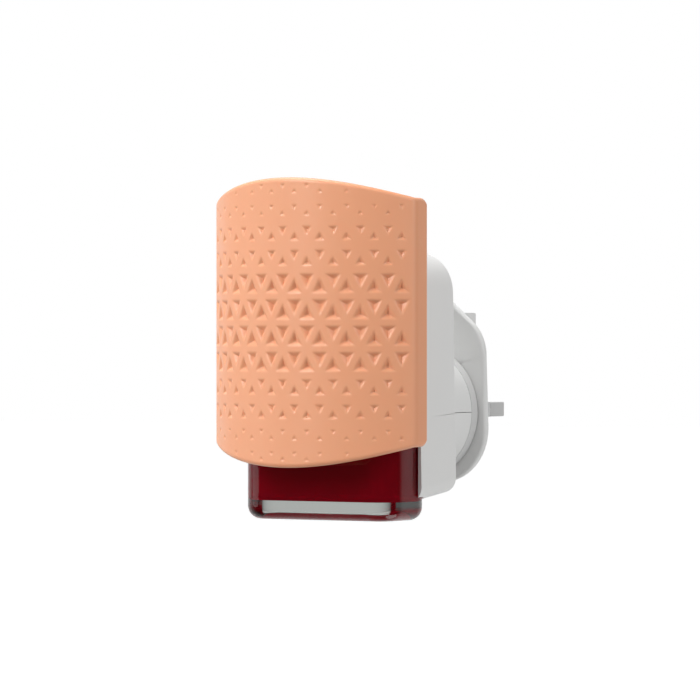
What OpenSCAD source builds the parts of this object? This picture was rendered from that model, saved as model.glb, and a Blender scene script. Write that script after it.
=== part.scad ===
// Plug-in scent diffuser: a three-pin plug that swivels in the back of a white
// housing, a curved shade on the front, and a glass refill bottle under the heater.
// Millimetres. +Z is up and -Y is the front. The origin is on the plug's flat face,
// midway between the live and neutral pins.

/* [Plug] */
// Centre of each flat pin, to the side of the middle
pin_x = 11.115; // [11.0:0.005:11.2]
// Width of the flat pins
pin_w = 6.35; // [6.2:0.05:6.5]
// Thickness of the flat pins
pin_t = 3.97; // [3.85:0.01:4.05]
// How far the flat pins stand out of the plug
pin_l = 17.7; // [17:0.1:18.2]
// Height of the earth pin's centre above the flat pins
earth_z = 22.23; // [22.1:0.01:22.4]
// Height of the earth pin's section
earth_h = 7.92; // [7.8:0.01:8.05]
// How far the earth pin stands out of the plug
earth_l = 22.73; // [22.2:0.01:23.2]
// Length of the insulating sleeve on each flat pin
sleeve_l = 9.5; // [9:0.1:10]
// Half of the plug plate's width
plate_half_w = 20; // [19.5:0.1:24]
// Thickness of the plug plate
plate_t = 2; // [1.8:0.1:2.1]

/* [Swivel] */
// Height of the swivel's axis above the flat pins
swivel_z = -0.6; // [-1:0.1:0]
// Outer radius of the round boss
boss_r = 17.3; // [17:0.1:17.5]
// Radius of the collar on the boss's end
collar_r = 17.8; // [17.6:0.05:17.9]
// Radius of the plug's core, which turns in the boss
core_r = 14; // [13.8:0.1:14.2]
// Running clearance between core and boss
core_gap = 0.06; // [0.02:0.01:0.1]

/* [Housing] */
// Half of the housing's width
housing_half_w = 25; // [25:0.1:25.4]
// Height of the housing's top
housing_top = 41.9; // [41.5:0.1:43.5]
// Distance from the wall to the housing's back
housing_back = 23.8; // [23.6:0.1:24]
// Distance from the wall to the front edge of the rear shells
shell_front = 41; // [40.5:0.1:41.5]
// Distance from the wall to the front of the heater cover
cover_front = 56; // [55.8:0.1:57]
// Wall thickness of the shells
shell_t = 2; // [1.8:0.1:2]

/* [Shade] */
// Radius of the shade's curved front
shade_r = 41.2; // [41:0.1:41.2]
// Half of the angle that the curved front covers
shade_half_angle = 48.3; // [48:0.1:48.6]
// Thickness of the shade
shade_t = 2; // [1.8:0.1:2.2]
// Height of the shade's top in the middle
shade_top = 60.5; // [58:0.5:62]
// Height of the shade's bottom in the middle
shade_bottom = -14.3; // [-15:0.1:-13]
// Radius of the arched top and bottom edges
arch_r = 95; // [90:1:110]

/* [Refill] */
// Half of the bottle's width
bottle_half_w = 23.6; // [23:0.1:23.6]
// Half of the bottle's depth
bottle_half_d = 10.7; // [10.4:0.1:10.7]
// Height of the bottle's bottom
bottle_bottom = -28.3; // [-29:0.1:-27]
// Thickness of the glass walls
glass_t = 1.6; // [1.4:0.1:2]
// Thickness of the glass base
glass_base = 5; // [4:0.1:6]
// Height that the oil is filled to
oil_top = 3; // [-5:0.5:5]
// Radius of the wick
wick_r = 3.2; // [3:0.1:3.4]

/* [Hidden] */
$fn = 64;
eps = 0.1;
gap = 0.3;
fit_gap = 0.04;

// Depths are measured forwards from the plug's flat face
collar_back = plate_t + 0.2;
spigot_back = collar_back + 0.2;
spigot_r = boss_r - 1.4;
boss_end = 4.6;
collar_lip = 0.15;
bore_r = core_r + core_gap;
washer_back = housing_back + shell_t;
washer_t = 0.3;
flange_back = washer_back + washer_t + gap;
flange_t = 2;
flange_r = core_r + 3;
core_front = flange_back + flange_t;
core_block = 8;
core_inner_r = core_r - 2;
carrier_t = 1.6;
contact_t = 0.5;
strip_x = 9.6;
strip_w = 3;
rivet_r = 1;
disc_r = 3;
ring_x = -7.2;
ring_out_r = 8.6;
ring_in_r = 5.8;
brush_back = core_front + contact_t + gap;
chassis_back = 31.7;
chassis_t = 1.5;
chassis_front = chassis_back + chassis_t;
housing_screw_end = chassis_front - 0.6;

// Plate outline: two lower corners, two upper corners and a round top
plate_low_r = 14.5;
plate_low_z = -5;
plate_high_r = 12;
plate_high_z = 14.5;
plate_lean = 0.6;
plate_top_r = 14;
plate_top_z = 18.1;
plate_edge_r = 0.8;
plate_low_x = plate_half_w - plate_low_r;
plate_high_x = plate_half_w - plate_lean - plate_high_r;
plate_turn = atan2(plate_top_z - plate_high_z, -plate_high_x)
    - acos((plate_high_r - plate_top_r)
        / norm([plate_high_x, plate_top_z - plate_high_z]));

// Pins
pin_edge = 0.9;
tail_w = 3.6;
tail_h = 3.2;
tail_x = 10.75;
tail_end = 1;
sleeve_t = 0.45;
earth_flange_z = 18;
earth_flange_w = 7;
earth_flange_h = 9.5;
earth_flange_t = 1.8;

// Housing outline
top_corner_r = 11;
low_corner_r = 4;
top_lean = 0.9;
low_z_back = -21.3;
low_slope = 0.13;
back_edge_r = 0.8;
cover_edge_r = 3;
shelf_z = 12.5;
shelf_t = 2;
seam_gap = 0.07;
seam_end = 35;
seam_drop = 0.7;
chassis_gap = 0.3;
inner_half_w = housing_half_w - shell_t - top_lean - chassis_gap;
chassis_low = -19;
screw_places = [[19, 33], [-19, 33], [19.2, -13.5], [-19.2, -13.5]];
screw_head_r = 2.6;
screw_r = 1.4;
screw_recess = 2;
screw_gap = 0.1;
pillar_t = 1.4;
plug_screw_z = 9;
plug_seat = 1.1;
plug_screw_end = 7.5;

// Vent
vent_half_w = 11.5;
vent_front = 52.5;
vent_back = 42.5;
vent_drop = 0.4;
slot_pitch = 2.4;
slot_w = 1.4;
slot_end = 1.2;

// Shade
shade_y = -27;
shade_corner_r = 3;
shade_side_end = -48;
shade_side_x = (shade_r - shade_corner_r) * sin(shade_half_angle) + shade_corner_r;
shade_corner_y = shade_y - (shade_r - shade_corner_r) * cos(shade_half_angle);
wing_back = 50;
wing_front = 52;
wing_low = 18;
wing_top = 38;
wing_x = 26.4;
wing_w = 5.6;
rail_t = 1.4;
rail_w = 2;

// Refill
bottle_y = -44.3;
bottle_corner_r = 7;
bottle_edge_r = 3.5;
shoulder_r = 6;
bottle_top = 10;
neck_r = 9.5;
neck_bore_r = 7;
neck_top = 19;
neck_gap = 1.1;
channel_gap = 0.35;
wick_low = -22.5;
wick_top = 33;
clip_r = 12.2;
clip_h = 3;
clip_mouth = 8.6;
plug_low = 11;
plug_lip_h = 1.5;

// Heater
heater_low = 24;
heater_top = 34;
heater_out_r = 8;
heater_in_r = 4.6;
arm_w = 14;
resistor_r = 2.2;
resistor_l = 15;
resistor_y = -36.2;
resistor_z = 29;
fuse_x = -12.5;
fuse_low = 30.5;
fuse_h = 6.5;
fuse_r = 1.6;
leaf_t = 0.4;
tip_h = 2.4;
brush_top = 19;
wire_r = 0.8;
live_wire_x = 12.5;
neutral_wire_x = -16;
wire_hole_z = resistor_z;
wire_behind_y = -30.5;
wire_low = 18;

white = [0.93, 0.93, 0.92];
apricot = [0.93, 0.66, 0.50];
brass = [0.80, 0.65, 0.30];
steel = [0.75, 0.75, 0.77];

// Points on an arc, as [x, y]
function arc(cx, cy, r, a0, a1, steps = 16) =
    [for (i = [0:steps])
        let (a = a0 + (a1 - a0) * i / steps)
        [cx + r * cos(a), cy + r * sin(a)]];

// The same outline at one height
function lift(outline, z) = [for (p = outline) [p[0], p[1], z]];

// Outline of the plug plate, grown by d
function plate_outline(d) = concat(
    arc(plate_low_x, plate_low_z, plate_low_r + d, -90, 0),
    arc(plate_high_x, plate_high_z, plate_high_r + d, 0, plate_turn),
    arc(0, plate_top_z, plate_top_r + d, plate_turn, 180 - plate_turn),
    arc(-plate_high_x, plate_high_z, plate_high_r + d, 180 - plate_turn, 180),
    arc(-plate_low_x, plate_low_z, plate_low_r + d, 180, 270));

// Height of the housing's sloping underside at a depth
function low_z(depth) = low_z_back - (depth - housing_back) * low_slope;

// Outline of the housing at a depth, grown by d
function housing_outline(d, depth) = concat(
    arc(housing_half_w - low_corner_r, low_z(depth) + low_corner_r,
        low_corner_r + d, -90, 0),
    arc(housing_half_w - top_lean - top_corner_r, housing_top - top_corner_r,
        top_corner_r + d, 0, 90),
    arc(-(housing_half_w - top_lean - top_corner_r), housing_top - top_corner_r,
        top_corner_r + d, 90, 180),
    arc(-(housing_half_w - low_corner_r), low_z(depth) + low_corner_r,
        low_corner_r + d, 180, 270));

// Outline of the bottle, grown by d
function bottle_outline(d) =
    let (x = bottle_half_w - bottle_corner_r, y = bottle_half_d - bottle_corner_r,
        r = bottle_corner_r + d)
    concat(arc(x, bottle_y - y, r, -90, 0, 9), arc(x, bottle_y + y, r, 0, 90, 9),
        arc(-x, bottle_y + y, r, 90, 180, 9), arc(-x, bottle_y - y, r, 180, 270, 9));

// Closed skin over a stack of outlines with the same number of points
module loft(rings) {
    n = len(rings[0]);
    m = len(rings);
    polyhedron(
        points = [for (ring = rings) each ring],
        faces = concat(
            [[for (i = [0:n - 1]) i]],
            [for (j = [0:m - 2], i = [0:n - 1])
                [j * n + i, (j + 1) * n + i, j * n + (i + 1) % n]],
            [for (j = [0:m - 2], i = [0:n - 1])
                [j * n + (i + 1) % n, (j + 1) * n + i, (j + 1) * n + (i + 1) % n]],
            [[for (i = [n - 1:-1:0]) (m - 1) * n + i]]));
}

// Turns a shape drawn as [x, z, depth] into the part's frame
module forwards() {
    rotate([90, 0, 0]) children();
}

// Round bar along the plug's axis, from depth d0 to d1
module bar(x, z, r, d0, d1) {
    forwards() translate([x, z, d0]) cylinder(r = r, h = d1 - d0);
}

// Block between two corners
module block(low, high) {
    translate(low) cube(high - low);
}

// Round wire through a list of points
module wire(points) {
    for (i = [0:len(points) - 2]) {
        v = points[i + 1] - points[i];
        translate(points[i])
            rotate([0, acos(v[2] / norm(v)), atan2(v[1], v[0])])
                cylinder(r = wire_r, h = norm(v), $fn = 24);
    }
    for (i = [1:len(points) - 2]) translate(points[i]) sphere(r = wire_r * 1.05, $fn = 24);
}

// ---- Plug ----

module plug_plate() {
    r = plate_edge_r;
    profile = concat([[-0.3, 0], [0, 0.3]],
        [for (a = [0:22.5:90]) [r * (cos(a) - 1), plate_t - r * (1 - sin(a))]]);
    color(white) difference() {
        forwards() loft([for (p = profile) lift(plate_outline(p[0]), p[1])]);
        for (s = [-1, 1]) {
            block([s * pin_x - pin_w / 2, -plate_t - eps, -pin_t / 2],
                [s * pin_x + pin_w / 2, eps, pin_t / 2]);
            bar(0, swivel_z + s * plug_screw_z, screw_head_r + screw_gap, -eps, plug_seat);
            bar(0, swivel_z + s * plug_screw_z, screw_r + fit_gap, -eps, plate_t + eps);
        }
        block([-pin_t / 2, -plate_t - eps, earth_z - earth_h / 2],
            [pin_t / 2, eps, earth_z + earth_h / 2]);
    }
}

module plug_core() {
    color(white) difference() {
        union() {
            bar(0, swivel_z, core_r, plate_t, core_front);
            bar(0, swivel_z, flange_r, flange_back, core_front);
        }
        bar(0, swivel_z, core_inner_r, core_block, core_front + eps);
        for (s = [-1, 1]) {
            block([s * tail_x - tail_w / 2, -core_block - tail_end - eps, -tail_h / 2],
                [s * tail_x + tail_w / 2, -plate_t + eps, tail_h / 2]);
            bar(0, swivel_z + s * plug_screw_z, screw_r, plate_t - eps, plug_screw_end);
        }
    }
}

// Rectangular pin blade w by h, standing l out of the plug, with chamfered tip edges
module blade(w, h, l) {
    intersection() {
        linear_extrude(height = h, center = true)
            polygon([[-w / 2, -plate_t], [w / 2, -plate_t], [w / 2, l - pin_edge],
                [w / 2 - pin_edge, l], [pin_edge - w / 2, l], [-w / 2, l - pin_edge]]);
        rotate([90, 0, 90]) linear_extrude(height = w, center = true)
            polygon([[-plate_t, -h / 2], [l - pin_edge, -h / 2], [l, pin_edge - h / 2],
                [l, h / 2 - pin_edge], [l - pin_edge, h / 2], [-plate_t, h / 2]]);
    }
}

// Live or neutral pin: side is 1 or -1
module flat_pin(side) {
    color(steel) {
        difference() {
            translate([side * pin_x, 0, 0]) blade(pin_w, pin_t, pin_l);
            difference() {
                block([side * pin_x - pin_w, 0, -pin_t],
                    [side * pin_x + pin_w, sleeve_l, pin_t]);
                sleeve_core(side);
            }
        }
        block([side * tail_x - tail_w / 2, -core_block - tail_end, -tail_h / 2],
            [side * tail_x + tail_w / 2, -plate_t, tail_h / 2]);
    }
}

// The narrower stretch of pin that a sleeve covers
module sleeve_core(side) {
    block([side * pin_x - pin_w / 2 + sleeve_t, -eps, sleeve_t - pin_t / 2],
        [side * pin_x + pin_w / 2 - sleeve_t, sleeve_l + eps, pin_t / 2 - sleeve_t]);
}

module flat_pin_sleeve(side) {
    color("dimgray") difference() {
        block([side * pin_x - pin_w / 2, 0, -pin_t / 2],
            [side * pin_x + pin_w / 2, sleeve_l, pin_t / 2]);
        sleeve_core(side);
    }
}

module live_pin() {
    flat_pin(1);
}

module neutral_pin() {
    flat_pin(-1);
}

module live_sleeve() {
    flat_pin_sleeve(1);
}

module neutral_sleeve() {
    flat_pin_sleeve(-1);
}

module earth_pin() {
    color(white) {
        translate([0, 0, earth_z]) blade(pin_t, earth_h, earth_l);
        block([-earth_flange_w / 2, -plate_t - earth_flange_t, earth_flange_z],
            [earth_flange_w / 2, -plate_t, earth_flange_z + earth_flange_h]);
    }
}

module plug_screws() {
    color(steel) for (s = [-1, 1]) {
        bar(0, swivel_z + s * plug_screw_z, screw_head_r, 0.15, plug_seat);
        bar(0, swivel_z + s * plug_screw_z, screw_r, plug_seat, plug_screw_end);
    }
}

module contact_carrier() {
    color("saddlebrown") difference() {
        bar(0, swivel_z, core_inner_r - fit_gap, core_front - carrier_t, core_front);
        for (x = [0, ring_x])
            bar(x, swivel_z, rivet_r, core_front - carrier_t - eps, core_front + eps);
    }
}

// Brass strip from a pin's tail to the back of the carrier, ending in a rivet
module contact_strip(side, rivet_x) {
    x = side * strip_x;
    half_t = contact_t / 2;
    back = carrier_t - core_front;
    block([x - half_t, back, swivel_z - strip_w / 2],
        [x + half_t, -core_block - tail_end, swivel_z + strip_w / 2]);
    block([min(x, rivet_x) - half_t, back, swivel_z - strip_w / 2],
        [max(x, rivet_x) + half_t, back + contact_t, swivel_z + strip_w / 2]);
    bar(rivet_x, swivel_z, rivet_r, core_front - carrier_t, core_front);
}

module live_contact() {
    color(brass) {
        contact_strip(1, 0);
        bar(0, swivel_z, disc_r, core_front, core_front + contact_t);
    }
}

module neutral_contact() {
    color(brass) {
        contact_strip(-1, ring_x);
        difference() {
            bar(0, swivel_z, ring_out_r, core_front, core_front + contact_t);
            bar(0, swivel_z, ring_in_r, core_front - eps, core_front + contact_t + eps);
        }
    }
}

// ---- Housing ----

// Space that the bottle slides through, with its running gap
module bottle_channel(top) {
    loft([lift(bottle_outline(channel_gap), bottle_bottom - 10),
        lift(bottle_outline(channel_gap), top)]);
}

// Both rear shells in one, before they are parted at the swivel's height
module rear_shell() {
    edge = [for (a = [0:22.5:90])
        [back_edge_r * (sin(a) - 1), housing_back + back_edge_r * (1 - cos(a))]];
    difference() {
        union() {
            forwards() loft(concat(
                [for (p = edge) lift(housing_outline(p[0], p[1]), p[1])],
                [lift(housing_outline(0, shell_front), shell_front)]));
            bar(0, swivel_z, boss_r, boss_end, housing_back + 1);
            bar(0, swivel_z, spigot_r, spigot_back, boss_end);
        }
        difference() {
            forwards() loft([
                lift(housing_outline(-shell_t, washer_back), washer_back),
                lift(housing_outline(-shell_t, shell_front + eps), shell_front + eps)]);
            for (p = screw_places)
                bar(p[0], p[1], screw_head_r + pillar_t, washer_back - eps,
                    washer_back + screw_recess);
        }
        bar(0, swivel_z, bore_r, spigot_back - eps, washer_back + eps);
        for (p = screw_places) {
            bar(p[0], p[1], screw_head_r + screw_gap, housing_back - eps,
                housing_back + screw_recess);
            bar(p[0], p[1], screw_r, housing_back, washer_back + screw_recess + eps);
        }
        bottle_channel(shelf_z);
    }
}

// Everything above or below the parting line: side is 1 or -1. The shells stand a
// little apart at the back, and meet where the line ends.
module parted(side) {
    end_z = swivel_z - seam_drop;
    rotate([90, 0, 90]) linear_extrude(height = 100, center = true)
        polygon([[0, swivel_z + side * seam_gap], [-housing_back, swivel_z + side * seam_gap],
            [-seam_end, end_z], [-60, end_z], [-60, side * 60], [0, side * 60]]);
}

module rear_shell_upper() {
    color(white) intersection() {
        rear_shell();
        parted(1);
    }
}

module rear_shell_lower() {
    color(white) intersection() {
        rear_shell();
        parted(-1);
    }
}

module boss_collar() {
    color(white) forwards() translate([0, swivel_z, 0])
        rotate_extrude()
            polygon([[spigot_r + fit_gap, collar_back], [collar_r, collar_back],
                [boss_r + collar_lip, boss_end - collar_lip], [boss_r, boss_end],
                [spigot_r + fit_gap, boss_end]]);
}

module friction_washer() {
    color(steel) difference() {
        bar(0, swivel_z, flange_r, washer_back, washer_back + washer_t);
        bar(0, swivel_z, bore_r + screw_gap, washer_back - eps, washer_back + washer_t + eps);
    }
}

module chassis() {
    r = top_corner_r - shell_t - chassis_gap;
    high = housing_top - shell_t - chassis_gap;
    color(white) difference() {
        union() {
            forwards() translate([0, 0, chassis_back]) linear_extrude(height = chassis_t)
                union() {
                    translate([-inner_half_w, chassis_low])
                        square([2 * inner_half_w, high - r - chassis_low]);
                    translate([r - inner_half_w, chassis_low])
                        square([2 * (inner_half_w - r), high - chassis_low]);
                    for (s = [-1, 1])
                        translate([s * (inner_half_w - r), high - r]) circle(r = r);
                }
            block([-inner_half_w, shell_t - cover_front + chassis_gap, shelf_z],
                [inner_half_w, -chassis_front, shelf_z + shelf_t]);
            for (p = screw_places)
                bar(p[0], p[1], screw_r + pillar_t, washer_back + screw_recess, chassis_back);
        }
        translate([0, bottle_y, shelf_z - eps])
            cylinder(r = neck_r + neck_gap, h = shelf_t + 2 * eps);
        for (p = screw_places)
            bar(p[0], p[1], screw_r, washer_back + screw_recess - eps, housing_screw_end);
        for (x = [live_wire_x, neutral_wire_x])
            bar(x, wire_hole_z, wire_r, chassis_back - eps, chassis_front + eps);
    }
}

module heater_cover() {
    front = [for (a = [0:22.5:90])
        [cover_edge_r * (cos(a) - 1), cover_front - cover_edge_r * (1 - sin(a))]];
    color(white) difference() {
        union() {
            forwards() loft(concat(
                [lift(housing_outline(0, shell_front), shell_front)],
                [for (p = front) lift(housing_outline(p[0], shell_front), p[1])]));
            for (s = [-1, 1])
                block([s * wing_x - wing_w / 2, -wing_front, wing_low],
                    [s * wing_x + wing_w / 2, -wing_back, wing_top]);
        }
        forwards() loft([
            lift(housing_outline(-shell_t, shell_front), shell_front - eps),
            lift(housing_outline(-shell_t, shell_front), cover_front - shell_t)]);
        block([-60, -80, -60], [60, 0, shelf_z]);
        block([-vent_half_w, -vent_front, housing_top - shell_t - 1],
            [vent_half_w, -vent_back, housing_top + 1]);
    }
}

module top_vent() {
    color(white) difference() {
        block([-vent_half_w, -vent_front, housing_top - shell_t],
            [vent_half_w, -vent_back, housing_top - vent_drop]);
        for (i = [-4:4])
            block([i * slot_pitch - slot_w / 2, slot_end - vent_front, housing_top - shell_t - eps],
                [i * slot_pitch + slot_w / 2, -vent_back - slot_end, housing_top]);
    }
}

// Plan of the shade, thinned by inset all round its outer side
module shade_plan(inset) {
    a = shade_half_angle;
    r = shade_corner_r - min(inset, shade_corner_r - 0.5);
    x = shade_side_x - inset;
    union() {
        intersection() {
            translate([0, shade_y]) circle(r = shade_r - inset, $fn = 180);
            polygon([[0, shade_y], [-70 * sin(a), shade_y - 70 * cos(a)],
                [70 * sin(a), shade_y - 70 * cos(a)]]);
        }
        for (s = [-1, 1])
            translate([s * (x - r), shade_corner_y]) circle(r = r);
        polygon([[0, shade_y], [-x, shade_side_end + inset], [-x, shade_corner_y],
            [r - x, shade_corner_y - r * 0.5], [x - r, shade_corner_y - r * 0.5],
            [x, shade_corner_y], [x, shade_side_end + inset]]);
    }
}

module shade() {
    color(apricot) intersection() {
        union() {
            translate([0, 0, shade_bottom - 1])
                linear_extrude(height = shade_top - shade_bottom + 2)
                    difference() {
                        shade_plan(0);
                        shade_plan(shade_t);
                        translate([-60, shade_side_end]) square([120, 60]);
                        translate([-shade_side_x + shade_t, shade_corner_y - 1])
                            square([2 * (shade_side_x - shade_t), 60]);
                    }
            for (s = [-1, 1]) {
                x = s * (shade_side_x - shade_t - rail_w / 2);
                w = rail_w / 2 + 0.05;
                block([x - w, -wing_front - rail_t, wing_low - 2],
                    [x + w, -wing_front, wing_top + rail_t]);
                block([x - w, -wing_back, wing_low - 2],
                    [x + w, -wing_back + rail_t, wing_top + rail_t]);
                block([x - w, -wing_front, wing_top], [x + w, -wing_back, wing_top + rail_t]);
            }
        }
        translate([0, 0, shade_top - arch_r]) rotate([90, 0, 0])
            cylinder(r = arch_r, h = 200, center = true, $fn = 240);
        translate([0, 0, shade_bottom + arch_r]) rotate([90, 0, 0])
            cylinder(r = arch_r, h = 200, center = true, $fn = 240);
    }
}

module housing_screws() {
    color(steel) for (p = screw_places) {
        bar(p[0], p[1], screw_head_r, housing_back + gap, housing_back + screw_recess);
        bar(p[0], p[1], screw_r, housing_back + screw_recess, housing_screw_end);
    }
}

module neck_clip() {
    color("gainsboro") translate([0, bottle_y, shelf_z + shelf_t]) difference() {
        cylinder(r = clip_r, h = clip_h);
        translate([0, 0, -eps]) cylinder(r = neck_r + gap, h = clip_h + 2 * eps);
        block([-clip_mouth, -20, -eps], [clip_mouth, 0, clip_h + eps]);
        block([-20, -chassis_front - gap - bottle_y, -eps], [20, 20, clip_h + eps]);
    }
}

module heater_ring() {
    color("ivory") difference() {
        union() {
            translate([0, bottle_y, heater_low])
                cylinder(r = heater_out_r, h = heater_top - heater_low);
            block([-arm_w / 2, bottle_y, heater_low + 1], [arm_w / 2, -chassis_front, heater_top - 1]);
        }
        translate([0, bottle_y, heater_low - eps])
            cylinder(r = heater_in_r, h = heater_top - heater_low + 2 * eps);
        translate([0, resistor_y, resistor_z]) rotate([0, 90, 0])
            cylinder(r = resistor_r + fit_gap, h = 2 * arm_w, center = true);
    }
}

module heater_resistor() {
    color("tan") translate([0, resistor_y, resistor_z]) rotate([0, 90, 0])
        cylinder(r = resistor_r, h = resistor_l, center = true);
}

module thermal_fuse() {
    color("silver") translate([fuse_x, resistor_y, fuse_low]) cylinder(r = fuse_r, h = fuse_h);
}

// Leaf spring on the chassis that rubs on one of the plug's contacts
module brush(x, side) {
    half_w = strip_w / 2;
    block([x - half_w, -chassis_back, swivel_z - tip_h / 2],
        [x + half_w, leaf_t - chassis_back, brush_top]);
    block([x - half_w, -chassis_back, swivel_z - tip_h / 2],
        [x + half_w, -brush_back, swivel_z + tip_h / 2]);
    block([min(x, x + side * strip_w), -chassis_back, brush_top - tip_h],
        [max(x, x + side * strip_w), leaf_t - chassis_back, brush_top]);
}

module live_brush() {
    color(brass) brush(0, 1);
}

module neutral_brush() {
    color(brass) brush(ring_x, -1);
}

module live_wire() {
    color("brown") wire([[strip_w, wire_behind_y, wire_low],
        [live_wire_x, wire_behind_y, wire_hole_z], [live_wire_x, resistor_y, wire_hole_z],
        [resistor_l / 2, resistor_y, resistor_z]]);
}

module fuse_lead() {
    color("silver") wire([[-resistor_l / 2, resistor_y, resistor_z],
        [fuse_x, resistor_y, resistor_z], [fuse_x, resistor_y, fuse_low]]);
}

module neutral_wire() {
    loop_z = fuse_low + fuse_h + 1.5;
    color("blue") wire([[fuse_x, resistor_y, fuse_low + fuse_h],
        [fuse_x, resistor_y, loop_z], [neutral_wire_x, resistor_y, loop_z],
        [neutral_wire_x, resistor_y, wire_hole_z],
        [neutral_wire_x, wire_behind_y, wire_hole_z],
        [ring_x - strip_w, wire_behind_y, wire_low]]);
}

// ---- Refill ----

// Body of the bottle or of its hollow: grown by d, with rounded base and shoulder
module bottle_body(d, low, high, low_r, high_r) {
    loft(concat(
        [for (a = [0:18:90])
            lift(bottle_outline(d - low_r * (1 - sin(a))), low + low_r * (1 - cos(a)))],
        [for (a = [0:15:90])
            lift(bottle_outline(d - high_r * (1 - cos(a))), high - high_r * (1 - sin(a)))]));
}

module bottle_hollow() {
    bottle_body(-glass_t, bottle_bottom + glass_base, bottle_top - glass_t, 2, shoulder_r - glass_t);
}

module bottle() {
    color([0.8, 0.85, 0.83, 0.35]) difference() {
        union() {
            bottle_body(0, bottle_bottom, bottle_top, bottle_edge_r, shoulder_r);
            translate([0, bottle_y, bottle_top - 4])
                cylinder(r = neck_r, h = neck_top - bottle_top + 4);
        }
        bottle_hollow();
        translate([0, bottle_y, bottle_top - glass_t - 0.5])
            cylinder(r = neck_bore_r, h = neck_top);
    }
}

module fragrance_oil() {
    color([0.4, 0, 0.04, 0.8]) difference() {
        intersection() {
            bottle_hollow();
            block([-40, -80, -60], [40, 0, oil_top]);
        }
        translate([0, bottle_y, wick_low]) cylinder(r = wick_r + fit_gap, h = 60);
    }
}

module wick() {
    color("beige") translate([0, bottle_y, wick_low])
        cylinder(r = wick_r, h = wick_top - wick_low);
}

module wick_plug() {
    color("white") translate([0, bottle_y, 0]) difference() {
        union() {
            translate([0, 0, plug_low])
                cylinder(r = neck_bore_r - fit_gap, h = neck_top - plug_low);
            translate([0, 0, neck_top]) cylinder(r = neck_r - 0.5, h = plug_lip_h);
        }
        translate([0, 0, plug_low - 1])
            cylinder(r = wick_r + fit_gap, h = neck_top + plug_lip_h - plug_low + 2);
    }
}

plug_plate();
plug_core();
live_pin();
neutral_pin();
earth_pin();
live_sleeve();
neutral_sleeve();
plug_screws();
contact_carrier();
live_contact();
neutral_contact();
rear_shell_upper();
rear_shell_lower();
boss_collar();
friction_washer();
chassis();
heater_cover();
top_vent();
shade();
housing_screws();
neck_clip();
heater_ring();
heater_resistor();
thermal_fuse();
live_brush();
neutral_brush();
live_wire();
fuse_lead();
neutral_wire();
bottle();
fragrance_oil();
wick();
wick_plug();
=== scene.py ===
# Plug-in scent diffuser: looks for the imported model, in metres, in the same frame.
import math
import bmesh
import bpy
import numpy as np
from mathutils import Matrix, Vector


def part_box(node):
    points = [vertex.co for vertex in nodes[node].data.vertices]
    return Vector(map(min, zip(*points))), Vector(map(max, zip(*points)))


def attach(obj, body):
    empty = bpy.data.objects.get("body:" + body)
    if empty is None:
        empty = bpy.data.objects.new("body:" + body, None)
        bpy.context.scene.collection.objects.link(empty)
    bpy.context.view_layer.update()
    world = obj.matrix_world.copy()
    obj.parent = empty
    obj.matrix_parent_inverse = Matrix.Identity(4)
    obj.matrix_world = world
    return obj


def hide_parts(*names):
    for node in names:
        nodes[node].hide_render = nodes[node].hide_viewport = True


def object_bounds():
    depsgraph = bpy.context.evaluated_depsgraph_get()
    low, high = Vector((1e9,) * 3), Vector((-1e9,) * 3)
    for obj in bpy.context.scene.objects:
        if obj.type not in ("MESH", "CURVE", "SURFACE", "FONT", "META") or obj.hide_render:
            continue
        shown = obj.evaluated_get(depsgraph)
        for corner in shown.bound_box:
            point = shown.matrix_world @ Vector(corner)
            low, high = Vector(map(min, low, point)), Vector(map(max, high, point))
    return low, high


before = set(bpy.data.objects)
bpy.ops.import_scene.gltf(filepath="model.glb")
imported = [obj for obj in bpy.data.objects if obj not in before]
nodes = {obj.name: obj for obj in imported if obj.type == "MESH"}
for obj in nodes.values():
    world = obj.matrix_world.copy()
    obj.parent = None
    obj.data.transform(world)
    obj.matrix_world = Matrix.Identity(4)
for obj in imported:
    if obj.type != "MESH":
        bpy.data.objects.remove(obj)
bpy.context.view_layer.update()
scene = bpy.context.scene
MM = 0.001


# ---------------------------------------------------------------- camera

VIEW_ANGLE = math.radians(33.891)
VIEW_DISTANCE = 1.1936
VIEW_SIDE = 0.020654
VIEW_HEIGHT = 0.016032
LENS = 227.3
SENSOR_WIDTH = 36
CLIP_NEAR = 0.05
CLIP_FAR = 20


def make_camera():
    """A level camera at the reference view: to the right of the front, at mid height."""
    right = Vector((math.cos(VIEW_ANGLE), math.sin(VIEW_ANGLE), 0))
    ahead = Vector((-math.sin(VIEW_ANGLE), math.cos(VIEW_ANGLE), 0))
    data = bpy.data.cameras.new("camera")
    data.lens = LENS
    data.sensor_width = SENSOR_WIDTH
    data.clip_start = CLIP_NEAR
    data.clip_end = CLIP_FAR
    camera = bpy.data.objects.new("camera", data)
    camera.location = -VIEW_SIDE * right - VIEW_DISTANCE * ahead + Vector((0, 0, VIEW_HEIGHT))
    camera.rotation_mode = "QUATERNION"
    camera.rotation_quaternion = ahead.to_track_quat("-Z", "Y")
    scene.collection.objects.link(camera)
    scene.camera = camera


# ---------------------------------------------------------------- materials

def new_material(name):
    """An empty node material: returns it, its node tree and its Principled shader."""
    mat = bpy.data.materials.new(name)
    mat.use_nodes = True
    tree = mat.node_tree
    shader = tree.nodes["Principled BSDF"]
    return mat, tree, shader


def noise(tree, scale, detail=3.0, rough=0.5):
    """Noise in the object's own coordinates; scale is features per metre."""
    coords = tree.nodes.new("ShaderNodeTexCoord")
    tex = tree.nodes.new("ShaderNodeTexNoise")
    tex.inputs["Scale"].default_value = scale
    tex.inputs["Detail"].default_value = detail
    tex.inputs["Roughness"].default_value = rough
    tree.links.new(coords.outputs["Object"], tex.inputs["Vector"])
    return tex.outputs["Fac"]


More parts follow.
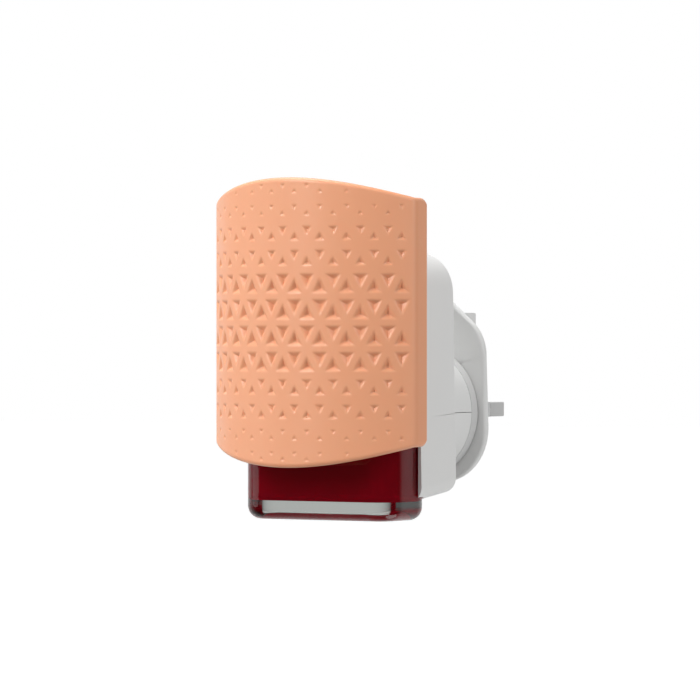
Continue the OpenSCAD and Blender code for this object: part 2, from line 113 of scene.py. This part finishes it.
def stretched_noise(tree, scale, detail):
    """Noise with its own scale along each axis, for streaks and drawn lines."""
    coords = tree.nodes.new("ShaderNodeTexCoord")
    stretch = tree.nodes.new("ShaderNodeMapping")
    stretch.inputs["Scale"].default_value = scale
    tex = tree.nodes.new("ShaderNodeTexNoise")
    tex.inputs["Scale"].default_value = 1.0
    tex.inputs["Detail"].default_value = detail
    tree.links.new(coords.outputs["Object"], stretch.inputs["Vector"])
    tree.links.new(stretch.outputs["Vector"], tex.inputs["Vector"])
    return tex.outputs["Fac"]


def ramp(tree, source, low, high):
    """Maps a 0 to 1 value to colours or greys between low and high."""
    node = tree.nodes.new("ShaderNodeMix")
    node.data_type = "RGBA"
    node.inputs["A"].default_value = (*low, 1)
    node.inputs["B"].default_value = (*high, 1)
    tree.links.new(source, node.inputs["Factor"])
    return node.outputs["Result"]


def spread(tree, source, low, high):
    """Maps the middle of a noise, 0.3 to 0.7, to the range low to high."""
    node = tree.nodes.new("ShaderNodeMapRange")
    node.inputs["From Min"].default_value = 0.3
    node.inputs["From Max"].default_value = 0.7
    node.inputs["To Min"].default_value = low
    node.inputs["To Max"].default_value = high
    tree.links.new(source, node.inputs["Value"])
    return node.outputs["Result"]


def bump(tree, shader, source, height):
    """Fine surface relief of the given height in metres."""
    node = tree.nodes.new("ShaderNodeBump")
    node.inputs["Strength"].default_value = 1.0
    node.inputs["Distance"].default_value = height
    tree.links.new(source, node.inputs["Height"])
    tree.links.new(node.outputs["Normal"], shader.inputs["Normal"])


def tint(colour, factor):
    """A colour made lighter or darker by a factor."""
    return tuple(min(1.0, c * factor) for c in colour)


def moulded(name, colour, rough, vary=0.03, grain=1400, height=0.000006, soft=0.0):
    """Moulded plastic: faint mottling, a fine spark-eroded grain and uneven gloss."""
    mat, tree, shader = new_material(name)
    cloud = noise(tree, 60, 4)
    tree.links.new(ramp(tree, cloud, tint(colour, 1 - vary), tint(colour, 1 + vary)),
                   shader.inputs["Base Color"])
    tree.links.new(spread(tree, noise(tree, 180, 3), rough - 0.05, rough + 0.05),
                   shader.inputs["Roughness"])
    bump(tree, shader, noise(tree, grain, 2, 0.6), height)
    shader.inputs["IOR"].default_value = 1.48
    if soft:
        shader.inputs["Subsurface Weight"].default_value = soft
        shader.inputs["Subsurface Radius"].default_value = (0.6, 0.3, 0.2)
        shader.inputs["Subsurface Scale"].default_value = 0.0015
    return mat


def metal(name, colour, rough, brushed=(900, 900, 60)):
    """Plated or stamped metal with fine drawn lines and patches of dulled finish."""
    mat, tree, shader = new_material(name)
    shader.inputs["Metallic"].default_value = 1.0
    lines = stretched_noise(tree, brushed, 4.0)
    tree.links.new(ramp(tree, noise(tree, 250, 3), tint(colour, 0.92), tint(colour, 1.04)),
                   shader.inputs["Base Color"])
    tree.links.new(spread(tree, lines, rough - 0.06, rough + 0.1),
                   shader.inputs["Roughness"])
    bump(tree, shader, lines, 0.000004)
    return mat


def clear_glass():
    """Pressed bottle glass: a faint green tint and the slow ripples of a mould."""
    mat, tree, shader = new_material("bottle_glass")
    shader.inputs["Transmission Weight"].default_value = 1.0
    shader.inputs["IOR"].default_value = 1.5
    shader.inputs["Roughness"].default_value = 0.0
    tree.links.new(ramp(tree, noise(tree, 40, 2), (0.80, 0.84, 0.80), (0.90, 0.93, 0.90)),
                   shader.inputs["Base Color"])
    bump(tree, shader, noise(tree, 110, 1), 0.00012)
    return mat


def red_oil():
    """Dark red fragrance oil, with the small change of index it has against glass."""
    mat, tree, shader = new_material("fragrance_oil")
    shader.inputs["Transmission Weight"].default_value = 0.2
    shader.inputs["IOR"].default_value = 1.03
    shader.inputs["Roughness"].default_value = 0.02
    tree.links.new(ramp(tree, noise(tree, 45, 2), (0.42, 0.0015, 0.010),
                        (0.80, 0.0035, 0.030)), shader.inputs["Base Color"])
    return mat


def wick_fibre():
    """Bonded fibre: pale, rough, with short lengthwise streaks."""
    mat, tree, shader = new_material("wick_fibre")
    streaks = stretched_noise(tree, (2600, 2600, 260), 5.0)
    tree.links.new(ramp(tree, streaks, (0.55, 0.42, 0.34), (0.92, 0.86, 0.76)),
                   shader.inputs["Base Color"])
    shader.inputs["Roughness"].default_value = 0.95
    shader.inputs["Sheen Weight"].default_value = 0.3
    bump(tree, shader, streaks, 0.00008)
    return mat


def make_materials():
    """Every material, by the short name that FINISH and the pieces use."""
    return {
        "apricot": moulded("apricot_plastic", (0.84, 0.38, 0.21), 0.38, 0.01, soft=0.12),
        "white": moulded("white_plastic", (0.80, 0.80, 0.79), 0.36, 0.015),
        "ring": moulded("ring_plastic", (0.66, 0.66, 0.655), 0.42, 0.015),
        "inner": moulded("inner_plastic", (0.72, 0.72, 0.70), 0.50, 0.03),
        "sleeve": moulded("sleeve_plastic", (0.62, 0.62, 0.62), 0.5, 0.03),
        "carrier": moulded("carrier_plastic", (0.12, 0.06, 0.03), 0.55, 0.1),
        "ceramic": moulded("heater_ceramic", (0.80, 0.77, 0.68), 0.8, 0.05, 900, 0.00002),
        "resistor": moulded("resistor_coat", (0.55, 0.40, 0.22), 0.6, 0.08, 700, 0.00002),
        "live": moulded("live_insulation", (0.16, 0.06, 0.02), 0.45, 0.06),
        "neutral": moulded("neutral_insulation", (0.02, 0.06, 0.30), 0.45, 0.06),
        "plated": metal("nickel_plating", (0.92, 0.92, 0.91), 0.40, (700, 60, 700)),
        "steel": metal("screw_steel", (0.56, 0.57, 0.60), 0.35),
        "brass": metal("contact_brass", (0.72, 0.50, 0.20), 0.30),
        "glass": clear_glass(),
        "oil": red_oil(),
        "wick": wick_fibre(),
    }


# ---------------------------------------------------------------- mesh helpers

def mesh_piece(name, verts, faces, mat, body, sharp=35):
    """A new piece from points in metres, smooth shaded with edges kept over the angle sharp."""
    mesh = bpy.data.meshes.new(name)
    mesh.from_pydata([tuple(v) for v in verts], [], [tuple(f) for f in faces])
    mesh.validate()
    bm = bmesh.new()
    bm.from_mesh(mesh)
    bmesh.ops.recalc_face_normals(bm, faces=bm.faces)
    for face in bm.faces:
        face.smooth = True
    limit = math.radians(sharp)
    for edge in bm.edges:
        if len(edge.link_faces) == 2 and edge.calc_face_angle() > limit:
            edge.smooth = False
    bm.to_mesh(mesh)
    bm.free()
    piece = bpy.data.objects.new(name, mesh)
    scene.collection.objects.link(piece)
    mesh.materials.append(mat)
    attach(piece, body)
    return piece


def grid_faces(columns, rows, wrap_rows=False, wrap_columns=False, start=0):
    """Quads of a grid whose point (c, r) has the number start + c * rows + r."""
    faces = []
    for c in range(columns if wrap_columns else columns - 1):
        d = (c + 1) % columns
        for r in range(rows if wrap_rows else rows - 1):
            s = (r + 1) % rows
            faces.append((start + c * rows + r, start + d * rows + r,
                          start + d * rows + s, start + c * rows + s))
    return faces


# ---------------------------------------------------------------- shade

# Sizes in this section and the next are in millimetres, angles in degrees.
SHADE_R = 41.2
SHADE_HALF_ANGLE = 48.3
SHADE_CORNER_R = 3.0
SHADE_T = 2.0
ARCH_R = 95.0
LIP_R = 1.1
INNER_LIP_R = 0.7
END_R = 0.7
CORNER_DROP_R = 2.3
END_STEPS = (0, 0.04, 0.12, 0.25, 0.42, 0.7, 1.1, 1.6, 2.3, 3.3)
CORNER_STEPS = 9
FAR_FROM_END = 20.0
FRONT_STEPS = 270
FACE_ROWS = 300
INNER_ROWS = 12
LIP_STEPS = 6

# Dimples lie in strips between level lines, which draw together away from mid height.
STRIPS = 12
PITCH = 7.14
LATTICE_R = 56.3
LATTICE_STEP = 0.12
PIT_SCALES = (0.55, 0.53, 0.35, 0.33, 0.19, 0.17)
PIT_SLOPE = 1.0
PIT_SOFT = 0.42
WIDEST_PIT = 9
WIDEST_POINTING_OUT = 2.5
WIDEST_POINTING_IN = 1

RAIL_T = 1.4
RAIL_REACH = 2.0
RAIL_BITE = 0.5
RAIL_OVERLAP = 0.2
RAIL_EDGE_R = 0.3
WING_BACK = -50.0
WING_FRONT = -52.0
WING_LOW = 16.0
WING_TOP = 38.0


def shade_plan(box_low, box_high):
    """Points along the shade's outer plan, each with its outward normal, its distance
    from the nearer end, and its distance round the curved front from the middle."""
    half_w = box_high.x / MM
    back = box_high.y / MM
    centre_y = box_low.y / MM + SHADE_R
    a = math.radians(SHADE_HALF_ANGLE)
    corner_x = half_w - SHADE_CORNER_R
    corner_y = centre_y - (SHADE_R - SHADE_CORNER_R) * math.cos(a)
    straight = back - corner_y
    turn = math.pi / 2 - a
    side = []
    for d in (*END_STEPS, straight):
        side.append((half_w, back - d, 1.0, 0.0, d, None))
    for i in range(1, CORNER_STEPS):
        t = turn * i / CORNER_STEPS
        side.append((corner_x + SHADE_CORNER_R * math.cos(t),
                     corner_y - SHADE_CORNER_R * math.sin(t),
                     math.cos(t), -math.sin(t), straight + SHADE_CORNER_R * t, None))
    front = []
    for i in range(FRONT_STEPS + 1):
        t = a - 2 * a * i / FRONT_STEPS
        front.append((SHADE_R * math.sin(t), centre_y - SHADE_R * math.cos(t),
                      math.sin(t), -math.cos(t), FAR_FROM_END, SHADE_R * t))
    other = [(-x, y, -nx, ny, d, s) for x, y, nx, ny, d, s in reversed(side)]
    return side + front + other


def soft_ramp(d, e):
    """0 below -e, d above e, and a smooth bend between them."""
    return np.where(d > e, d, np.where(d < -e, 0.0, (d + e) ** 2 / (4 * e)))


def pits():
    """Every dimple: place round the front, low and high line of its strip, up or down, scale."""
    middle = STRIPS // 2
    lines = [LATTICE_R * math.sin(LATTICE_STEP * (middle - i)) for i in range(STRIPS + 1)]
    found = []
    for strip in range(STRIPS):
        high, low = lines[strip], lines[strip + 1]
        scale = PIT_SCALES[min(abs(strip - middle + 1), abs(strip - middle))]
        for half in range(-WIDEST_PIT, WIDEST_PIT + 1):
            k = half / 2
            on_half = half % 2 != 0
            up = on_half == (strip % 2 == 0)
            outermost = strip in (0, STRIPS - 1)
            points_out = up == (strip == 0)
            widest = WIDEST_POINTING_OUT if points_out else WIDEST_POINTING_IN
            if outermost and abs(k) > widest:
                continue
            found.append((k * PITCH, low, high, up, scale))
    return found


def dimple_depth(s, z, middle):
    """Depth of the dimples, three-sided pyramids, at distance s round the front and height z."""
    depth = np.zeros_like(z)
    for place, low, high, up, scale in pits():
        h = high - low
        side = math.hypot(h, PITCH / 2)
        inner = PITCH * h / (PITCH + 2 * side)
        sign = 1 if up else -1
        centre = middle + (low + inner if up else high - inner)
        near = (np.abs(s - place) < PITCH * 0.75) & (np.abs(z - centre) < h * 0.9)
        if not near.any():
            continue
        u = s[near] - place
        v = (z[near] - centre) * sign
        reach = inner * scale
        across = np.abs(u) * h / side + v * (PITCH / 2) / side
        d = reach - np.maximum(-v, across)
        depth[near] = np.maximum(depth[near], PIT_SLOPE * soft_ramp(d, PIT_SOFT * (0.3 + scale)))
    return depth


def make_shade(mats):
    low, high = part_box("shade")
    outline = shade_plan(low, high)
    plan = np.array([[*p[:5], 0 if p[5] is None else p[5]] for p in outline])
    curved = np.array([p[5] is not None for p in outline])
    x, y, nx, ny, end, s = plan.T
    z_mid_top, z_mid_low = high.z / MM, low.z / MM
    arch = ARCH_R - np.sqrt(ARCH_R ** 2 - x ** 2)
    drop = np.where(end < CORNER_DROP_R,
                    CORNER_DROP_R - np.sqrt(np.maximum(
                        0, CORNER_DROP_R ** 2 - (CORNER_DROP_R - end) ** 2)), 0)
    top = z_mid_top - arch - drop
    bottom = z_mid_low + arch + drop
    inset = np.where(end < END_R, END_R - np.sqrt(np.maximum(
        0, END_R ** 2 - (END_R - end) ** 2)), 0)
    lip = [math.pi / 2 * i / LIP_STEPS for i in range(LIP_STEPS + 1)]
    profile = []
    for i in range(FACE_ROWS + 1):
        profile.append(("outer", i / FACE_ROWS, 0.0, 0.0))
    for t in lip[1:]:
        profile.append(("top", 1.0, LIP_R * (1 - math.cos(t)), LIP_R * math.sin(t)))
    for t in lip[::-1]:
        profile.append(("top_in", 1.0, SHADE_T - INNER_LIP_R * (1 - math.cos(t)),
                        INNER_LIP_R * math.sin(t)))
    for i in range(1, INNER_ROWS):
        profile.append(("inner", 1 - i / INNER_ROWS, SHADE_T, 0.0))
    for t in lip:
        profile.append(("low_in", 0.0, SHADE_T - INNER_LIP_R * (1 - math.cos(t)),
                        -INNER_LIP_R * math.sin(t)))
    for t in lip[:0:-1]:
        profile.append(("low", 0.0, LIP_R * (1 - math.cos(t)), -LIP_R * math.sin(t)))
    count = len(profile)
    middle = (z_mid_top + z_mid_low) / 2
    points = np.zeros((len(x), count, 3))
    for r, (part, v, depth, rise) in enumerate(profile):
        edge = INNER_LIP_R if part in ("top_in", "inner", "low_in") else LIP_R
        base = bottom + edge + (top - bottom - 2 * edge) * v
        z = base + rise
        d = np.full_like(z, depth)
        d = np.clip(d, inset, SHADE_T - inset)
        if part == "outer":
            d = d + np.where(curved, dimple_depth(s, z, middle), 0)
        points[:, r, 0] = x - nx * d
        points[:, r, 1] = y - ny * d
        points[:, r, 2] = z
    verts = points.reshape(-1, 3) * MM
    columns = len(x)
    faces = grid_faces(columns, count, wrap_rows=True)
    faces.append(tuple(range(count)))
    faces.append(tuple((columns - 1) * count + r for r in range(count - 1, -1, -1)))
    shade = mesh_piece("shade_shell", verts, faces, mats["apricot"], "housing",
                       sharp=60)
    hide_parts("shade")


def rounded_block(name, low, high, edge, mat, body):
    """A block between two corners in metres, with rounded edges."""
    bm = bmesh.new()
    bmesh.ops.create_cube(bm, size=1.0)
    size = Vector(high) - Vector(low)
    centre = (Vector(high) + Vector(low)) / 2
    for v in bm.verts:
        v.co = Vector((v.co.x * size.x, v.co.y * size.y, v.co.z * size.z)) + centre
    bmesh.ops.bevel(bm, geom=bm.edges[:], offset=edge, segments=3, affect="EDGES",
                    profile=0.5)
    verts = [v.co.copy() for v in bm.verts]
    faces = [[v.index for v in f.verts] for f in bm.faces]
    bm.free()
    return mesh_piece(name, verts, faces, mat, body)


def make_shade_rails(mats):
    """The channels inside the shade that slide over the cover's wings."""
    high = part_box("shade")[1]
    inner = high.x / MM - SHADE_T
    top = WING_TOP + RAIL_T
    rails = {
        "front": (WING_FRONT - RAIL_T, WING_FRONT, WING_LOW, top),
        "back": (WING_BACK, WING_BACK + RAIL_T, WING_LOW, top),
        "stop": (WING_FRONT - RAIL_OVERLAP, WING_BACK + RAIL_OVERLAP, WING_TOP, top),
    }
    for name, side in (("right", 1), ("left", -1)):
        x0, x1 = sorted((side * (inner - RAIL_REACH), side * (inner + RAIL_BITE)))
        for part, (y0, y1, z0, z1) in rails.items():
            rounded_block(f"shade_rail_{name}_{part}",
                          (x0 * MM, y0 * MM, z0 * MM), (x1 * MM, y1 * MM, z1 * MM),
                          RAIL_EDGE_R * MM, mats["apricot"], "housing")


# ---------------------------------------------------------------- refill

BOTTLE_CORNER_R = 7.0
BOTTLE_BASE_R = 3.5
SHOULDER_R = 6.0
GLASS_T = 1.6
GLASS_BASE = 5.0
BODY_TOP = 10.0
INNER_BASE_R = 2.0
NECK_R = 9.5
NECK_BORE_R = 7.0
NECK_FOOT = 13.0
SHOULDER_RISE = 0.5
INNER_RISE = 0.4
BEAD_GROW = 0.25
BEAD_FOOT = 2.6
BEAD_LOW = 2.2
BEAD_HIGH = 0.6
OIL_BITE = 0.05
OIL_TOP_GAP = 0.2


def rounded_outline(half_w, half_d, centre_y, r, grow, arc_steps=18, side_steps=6):
    """Outline of a rounded rectangle in plan, grown by grow, as points in millimetres."""
    x, y = half_w - r, half_d - r
    r += grow
    points = []
    corners = [(x, -y, -90), (x, y, 0), (-x, y, 90), (-x, -y, 180)]
    for i, (cx, cy, a0) in enumerate(corners):
        arc = []
        for j in range(arc_steps + 1):
            a = math.radians(a0 + 90 * j / arc_steps)
            arc.append((cx + r * math.cos(a), centre_y + cy + r * math.sin(a)))
        points += arc
        nx, ny, na = corners[(i + 1) % 4]
        na = math.radians(na)
        goal = (nx + r * math.cos(na), centre_y + ny + r * math.sin(na))
        for j in range(1, side_steps):
            t = j / side_steps
            points.append((arc[-1][0] + (goal[0] - arc[-1][0]) * t,
                           arc[-1][1] + (goal[1] - arc[-1][1]) * t))
    return points


def circle_like(outline, centre_y, r):
    """Points on a circle at the same directions as an outline's points."""
    found = []
    for px, py in outline:
        a = math.atan2(py - centre_y, px)
        found.append((r * math.cos(a), centre_y + r * math.sin(a)))
    return found


def blend_rings(a, b, t):
    """Points a share t of the way from ring a to ring b."""
    return [(p[0] + (q[0] - p[0]) * t, p[1] + (q[1] - p[1]) * t) for p, q in zip(a, b)]


def body_rings(box, grow, low, high, low_r, high_r):
    """Rings of the bottle's body or of its hollow, from the base up to the shoulder's top."""
    half_w, half_d, centre_y = box
    rings = []

    def ring(offset, z):
        rings.append((rounded_outline(half_w, half_d, centre_y, BOTTLE_CORNER_R,
                                      grow + offset), z))

    for i in range(11):
        t = math.pi / 2 * i / 10
        ring(-low_r * (1 - math.sin(t)), low + low_r * (1 - math.cos(t)))
    for i in range(1, 12):
        z0, z1 = low + low_r, high - high_r
        ring(0, z0 + (z1 - z0) * i / 12)
    for i in range(12):
        t = math.pi / 2 * i / 12
        ring(-high_r * (1 - math.cos(t)), high - high_r * (1 - math.sin(t)))
    return rings


def rings_mesh(rings):
    """Points and side faces of a stack of rings, and the number of points in a ring."""
    n = len(rings[0][0])
    verts = [(x * MM, y * MM, z * MM) for outline, z in rings for x, y in outline]
    faces = []
    for k in range(len(rings) - 1):
        for i in range(n):
            j = (i + 1) % n
            faces.append((k * n + i, k * n + j, (k + 1) * n + j, (k + 1) * n + i))
    return verts, faces, n


def close_ring(faces, start, n, flip):
    """Closes the ring of n points from start with one flat face."""
    loop = [start + i for i in range(n)]
    faces.append(tuple(reversed(loop)) if flip else tuple(loop))


def bottle_size():
    """Half width, half depth and centre of the bottle, its underside and its lip."""
    low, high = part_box("bottle")
    return ((high.x - low.x) / 2 / MM, (high.y - low.y) / 2 / MM,
            (high.y + low.y) / 2 / MM), low.z / MM, high.z / MM


def make_bottle(mats):
    """Glass bottle: one closed skin, outside up to the lip and back down its inside."""
    size, floor, lip = bottle_size()
    centre_y = size[2]
    outer = body_rings(size, 0, floor, BODY_TOP, BOTTLE_BASE_R, SHOULDER_R)
    last = outer[-1][0]
    neck = circle_like(last, centre_y, NECK_R)
    for i in range(1, 7):
        t = i / 6
        outer.append((blend_rings(last, neck, t), BODY_TOP - 0.02 + SHOULDER_RISE * t * t))
    outer.append((neck, NECK_FOOT))
    outer.append((neck, lip - BEAD_FOOT))
    bead = circle_like(last, centre_y, NECK_R + BEAD_GROW)
    outer.append((bead, lip - BEAD_LOW))
    outer.append((bead, lip - BEAD_HIGH))
    outer.append((circle_like(last, centre_y, NECK_R - 0.1), lip - 0.15))
    outer.append((circle_like(last, centre_y, NECK_R - 0.6), lip))
    inner = body_rings(size, -GLASS_T, floor + GLASS_BASE, BODY_TOP - GLASS_T,
                       INNER_BASE_R, SHOULDER_R - GLASS_T)
    last_in = inner[-1][0]
    bore = circle_like(last_in, centre_y, NECK_BORE_R)
    for i in range(1, 5):
        t = i / 4
        inner.append((blend_rings(last_in, bore, t), BODY_TOP - GLASS_T + INNER_RISE * t))
    inner.append((bore, lip - 0.5))
    inner.append((circle_like(last_in, centre_y, NECK_BORE_R + 0.4), lip))
    verts, faces, n = rings_mesh(outer)
    close_ring(faces, 0, n, True)
    inner_verts, inner_faces, m = rings_mesh(inner)
    base = len(verts)
    verts += inner_verts
    faces += [tuple(base + i for i in reversed(f)) for f in inner_faces]
    close_ring(faces, base, m, False)
    top_out = (len(outer) - 1) * n
    top_in = base + (len(inner) - 1) * m
    for i in range(n):
        j = (i + 1) % n
        faces.append((top_out + i, top_out + j, top_in + j, top_in + i))
    bottle = mesh_piece("bottle_glass", verts, faces, mats["glass"], "refill",
                        sharp=50)
    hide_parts("bottle")


def make_oil(mats):
    """The oil fills the bottle's hollow and bites a hair into the glass all round."""
    size, floor, _ = bottle_size()
    rings = body_rings(size, OIL_BITE - GLASS_T, floor + GLASS_BASE - OIL_BITE,
                       BODY_TOP - GLASS_T, INNER_BASE_R, SHOULDER_R - GLASS_T)
    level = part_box("fragrance_oil")[1].z / MM
    kept = [ring for ring in rings if ring[1] < level - OIL_TOP_GAP]
    wall = kept[-1][0]
    kept.append((wall, level))
    verts, faces, n = rings_mesh(kept)
    close_ring(faces, 0, n, True)
    close_ring(faces, (len(kept) - 1) * n, n, False)
    oil = mesh_piece("fragrance_oil_body", verts, faces, mats["oil"], "refill",
                     sharp=50)
    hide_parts("fragrance_oil")


# ---------------------------------------------------------------- finish of the CAD parts

FINISH = {
    "white": ["plug_plate", "plug_core", "earth_pin", "rear_shell_upper",
              "rear_shell_lower", "heater_cover", "top_vent"],
    "ring": ["boss_collar"],
    "inner": ["chassis", "neck_clip", "wick_plug"],
    "sleeve": ["live_sleeve", "neutral_sleeve"],
    "plated": ["live_pin", "neutral_pin", "fuse_lead", "thermal_fuse"],
    "steel": ["plug_screws", "friction_washer", "housing_screws"],
    "brass": ["live_contact", "neutral_contact", "live_brush", "neutral_brush"],
    "carrier": ["contact_carrier"],
    "ceramic": ["heater_ring"],
    "resistor": ["heater_resistor"],
    "live": ["live_wire"],
    "neutral": ["neutral_wire"],
    "wick": ["wick"],
}
SMOOTH_ANGLE = 30
BEVEL_ANGLE = 40
WELD_DISTANCE = 0.000002
EDGE_RADIUS = {"plug_plate": 0.15, "earth_pin": 0.3, "live_pin": 0.3, "neutral_pin": 0.3,
               "top_vent": 0.2, "heater_cover": 0.3, "chassis": 0.25, "boss_collar": 0.15,
               "neck_clip": 0.3, "wick_plug": 0.3, "housing_screws": 0.2,
               "plug_screws": 0.2}


def smooth_group():
    """Geometry nodes that shade a mesh smoothly, with edges over 30 degrees kept sharp."""
    group = bpy.data.node_groups.new("smooth_by_angle", "GeometryNodeTree")
    group.interface.new_socket("Geometry", in_out="INPUT", socket_type="NodeSocketGeometry")
    group.interface.new_socket("Geometry", in_out="OUTPUT", socket_type="NodeSocketGeometry")
    source = group.nodes.new("NodeGroupInput")
    target = group.nodes.new("NodeGroupOutput")
    angle = group.nodes.new("GeometryNodeInputMeshEdgeAngle")
    under = group.nodes.new("FunctionNodeCompare")
    under.data_type = "FLOAT"
    under.operation = "LESS_EQUAL"
    under.inputs["B"].default_value = math.radians(SMOOTH_ANGLE)
    faces = group.nodes.new("GeometryNodeSetShadeSmooth")
    edges = group.nodes.new("GeometryNodeSetShadeSmooth")
    edges.domain = "EDGE"
    link = group.links.new
    link(angle.outputs["Unsigned Angle"], under.inputs["A"])
    link(source.outputs[0], faces.inputs["Geometry"])
    link(faces.outputs["Geometry"], edges.inputs["Geometry"])
    link(under.outputs["Result"], edges.inputs["Shade Smooth"])
    link(edges.outputs["Geometry"], target.inputs[0])
    return group


def finish_cad(mats):
    """Material and smooth shading on every part that is shown as packed, with rounded edges on
    those listed in EDGE_RADIUS.
    """
    group = smooth_group()
    for key, names in FINISH.items():
        for name in names:
            obj = nodes[name]
            obj.data.materials.clear()
            obj.data.materials.append(mats[key])
            weld = obj.modifiers.new("weld", "WELD")
            weld.merge_threshold = WELD_DISTANCE
            if name in EDGE_RADIUS:
                bevel = obj.modifiers.new("edges", "BEVEL")
                bevel.width = EDGE_RADIUS[name] * MM
                bevel.segments = 3
                bevel.limit_method = "ANGLE"
                bevel.angle_limit = math.radians(BEVEL_ANGLE)
            smooth = obj.modifiers.new("smooth", "NODES")
            smooth.node_group = group
            weighted = obj.modifiers.new("normals", "WEIGHTED_NORMAL")
            weighted.keep_sharp = True
            weighted.weight = 80


# ---------------------------------------------------------------- studio

FLOOR_DROP = 0.22
FLOOR_HALF = 12
FLOOR_GLOW = 0.75
BACKDROP_AIM = (-0.558, 0.830, 0.0)
FILL_FRONT = 0.33
FILL_BACK = 0.24
MIRROR_FRONT = 0.03
MIRROR_BACK = 0.95
GLASS_FRONT = 0.08
GLASS_BACK = 0.50


def make_floor(low):
    """A wide pale floor, seen from above and by the camera only."""
    mat, tree, shader = new_material("studio_floor")
    shader.inputs["Base Color"].default_value = (0.9, 0.9, 0.9, 1)
    shader.inputs["Roughness"].default_value = 0.9
    shader.inputs["Emission Color"].default_value = (1, 1, 1, 1)
    shader.inputs["Emission Strength"].default_value = FLOOR_GLOW
    path = tree.nodes.new("ShaderNodeLightPath")
    geometry = tree.nodes.new("ShaderNodeNewGeometry")
    clear = tree.nodes.new("ShaderNodeBsdfTransparent")
    front = tree.nodes.new("ShaderNodeMath")
    front.operation = "SUBTRACT"
    mix = tree.nodes.new("ShaderNodeMixShader")
    link = tree.links.new
    link(path.outputs["Is Camera Ray"], front.inputs[0])
    link(geometry.outputs["Backfacing"], front.inputs[1])
    link(front.outputs["Value"], mix.inputs["Fac"])
    link(clear.outputs["BSDF"], mix.inputs[1])
    link(shader.outputs["BSDF"], mix.inputs[2])
    link(mix.outputs["Shader"], tree.nodes["Material Output"].inputs["Surface"])
    mesh = bpy.data.meshes.new("floor")
    z = low.z - FLOOR_DROP
    w = FLOOR_HALF
    mesh.from_pydata([(-w, -w, z), (w, -w, z), (w, w, z), (-w, w, z)], [], [(0, 1, 2, 3)])
    mesh.materials.append(mat)
    floor = bpy.data.objects.new("floor", mesh)
    scene.collection.objects.link(floor)


def area_light(name, place, target, size, power):
    """A round softbox: place and size in metres, power in watts."""
    data = bpy.data.lights.new(name, "AREA")
    data.shape = "DISK"
    data.size = size
    data.energy = power
    light = bpy.data.objects.new(name, data)
    light.location = place
    aim = Vector(target) - Vector(place)
    light.rotation_mode = "QUATERNION"
    light.rotation_quaternion = aim.to_track_quat("-Z", "Y")
    light.visible_transmission = False
    scene.collection.objects.link(light)


def make_world():
    """White behind the object for the camera, soft fill on it, in its gloss a white
    backdrop that fades to a dim room in front, and a dimmer one through its glass."""
    world = bpy.data.worlds.new("studio")
    scene.world = world
    world.use_nodes = True
    tree = world.node_tree
    tree.nodes.clear()
    link = tree.links.new
    out = tree.nodes.new("ShaderNodeOutputWorld")
    coords = tree.nodes.new("ShaderNodeTexCoord")
    dot = tree.nodes.new("ShaderNodeVectorMath")
    dot.operation = "DOT_PRODUCT"
    dot.inputs[1].default_value = BACKDROP_AIM
    link(coords.outputs["Generated"], dot.inputs[0])
    path = tree.nodes.new("ShaderNodeLightPath")

    def room(front, back, start, end):
        fade = tree.nodes.new("ShaderNodeMapRange")
        fade.interpolation_type = "SMOOTHSTEP"
        fade.inputs["From Min"].default_value = start
        fade.inputs["From Max"].default_value = end
        fade.inputs["To Min"].default_value = front
        fade.inputs["To Max"].default_value = back
        light = tree.nodes.new("ShaderNodeBackground")
        light.inputs["Color"].default_value = (1, 1, 1, 1)
        link(dot.outputs["Value"], fade.inputs["Value"])
        link(fade.outputs["Result"], light.inputs["Strength"])
        return light

    fill = room(FILL_FRONT, FILL_BACK, -0.35, 0.75)
    mirror = room(MIRROR_FRONT, MIRROR_BACK, 0.0, 0.8)
    through = room(GLASS_FRONT, GLASS_BACK, 0.55, 1.0)
    seen = tree.nodes.new("ShaderNodeBackground")
    seen.inputs["Color"].default_value = (1, 1, 1, 1)
    by_kind = tree.nodes.new("ShaderNodeMixShader")
    by_glass = tree.nodes.new("ShaderNodeMixShader")
    by_camera = tree.nodes.new("ShaderNodeMixShader")
    bounced = tree.nodes.new("ShaderNodeMath")
    through_glass = tree.nodes.new("ShaderNodeMath")
    for node, first, second in ((bounced, "Is Glossy Ray", "Is Transmission Ray"),
                                (through_glass, "Is Transmission Ray", "Diffuse Depth")):
        node.operation = "SUBTRACT"
        node.use_clamp = True
        link(path.outputs[first], node.inputs[0])
        link(path.outputs[second], node.inputs[1])
    link(bounced.outputs["Value"], by_kind.inputs["Fac"])
    link(fill.outputs["Background"], by_kind.inputs[1])
    link(mirror.outputs["Background"], by_kind.inputs[2])
    link(through_glass.outputs["Value"], by_glass.inputs["Fac"])
    link(by_kind.outputs["Shader"], by_glass.inputs[1])
    link(through.outputs["Background"], by_glass.inputs[2])
    link(path.outputs["Is Camera Ray"], by_camera.inputs["Fac"])
    link(by_glass.outputs["Shader"], by_camera.inputs[1])
    link(seen.outputs["Background"], by_camera.inputs[2])
    link(by_camera.outputs["Shader"], out.inputs["Surface"])


LIGHTS = {
    "key": ((-0.35, -1.10, 0.50), 0.5, 8.8),
    "left": ((-1.10, -0.75, 0.20), 1.0, 2.5),
    "right": ((1.20, -0.15, 0.45), 0.8, 5.8),
    "top": ((-0.40, -0.15, 1.15), 1.0, 13.0),
    "below": ((0.50, 0.40, -1.10), 0.8, 3.5),
}


def make_studio():
    """Floor, world and softboxes; each light is placed from the object's middle."""
    low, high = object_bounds()
    middle = (low + high) / 2
    make_floor(low)
    make_world()
    for name, (offset, size, power) in LIGHTS.items():
        area_light(name, middle + Vector(offset), middle, size, power)
    scene.view_settings.view_transform = "Standard"
    scene.view_settings.look = "None"


# ---------------------------------------------------------------- build

make_camera()
materials = make_materials()
finish_cad(materials)
make_shade(materials)
make_shade_rails(materials)
make_bottle(materials)
make_oil(materials)
make_studio()
